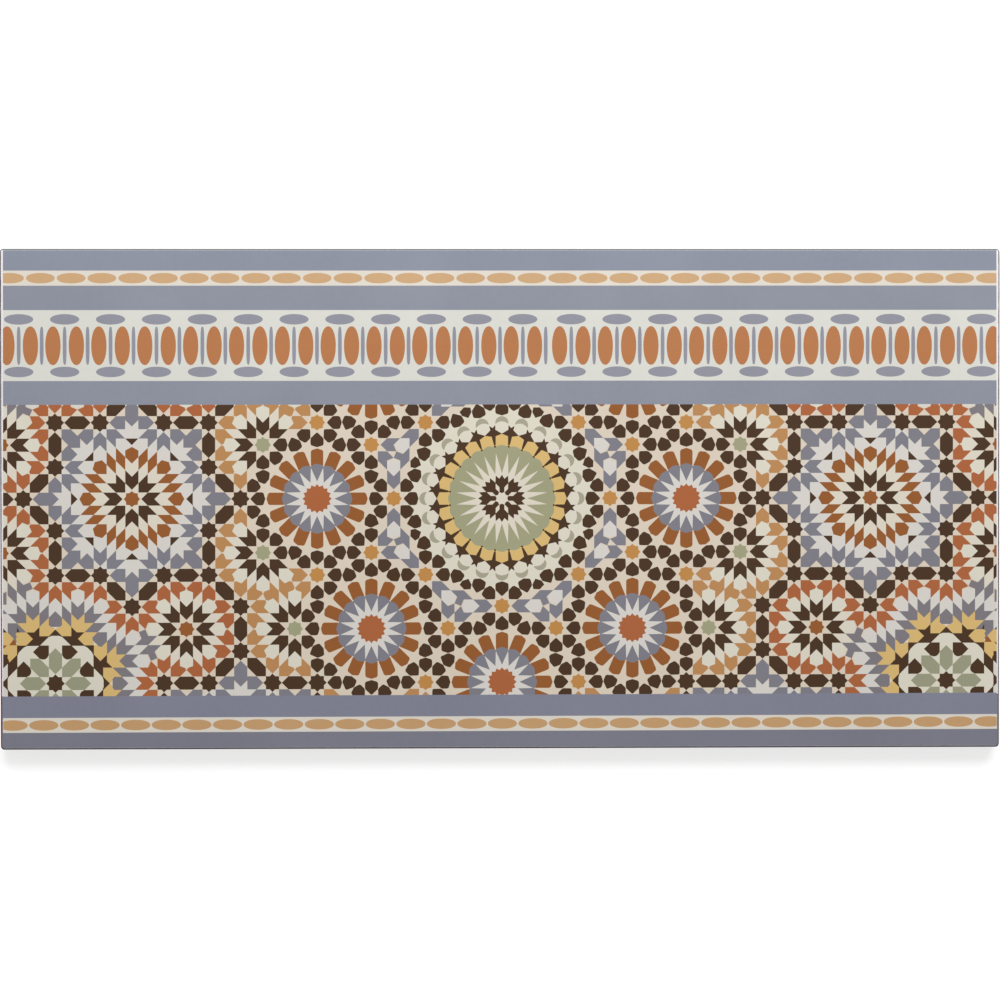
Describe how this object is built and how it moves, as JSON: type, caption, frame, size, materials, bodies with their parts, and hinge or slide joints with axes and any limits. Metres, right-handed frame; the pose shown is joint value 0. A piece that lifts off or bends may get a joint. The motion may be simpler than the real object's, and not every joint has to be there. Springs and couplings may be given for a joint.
{
  "type": "border tile",
  "caption": "Rectangular glazed ceramic wall border tile: a printed star-and-rosette mosaic between bead borders, a rounded arris and a back keyed with shallow pockets.",
  "frame": {"origin": "middle of the back, in the plane the ribs of the back stand on", "axes": "+X along the border, +Y towards the upper edge of the tile as it is fixed on a wall, +Z out of the glazed face"},
  "size_m": [0.28, 0.14, 0.008],
  "materials": {
    "tile": "satin glaze on the face and arris, bare fired body on the edges and back"
  },
  "bodies": {
    "root": {"tile": "tile"}
  },
  "joints": []
}
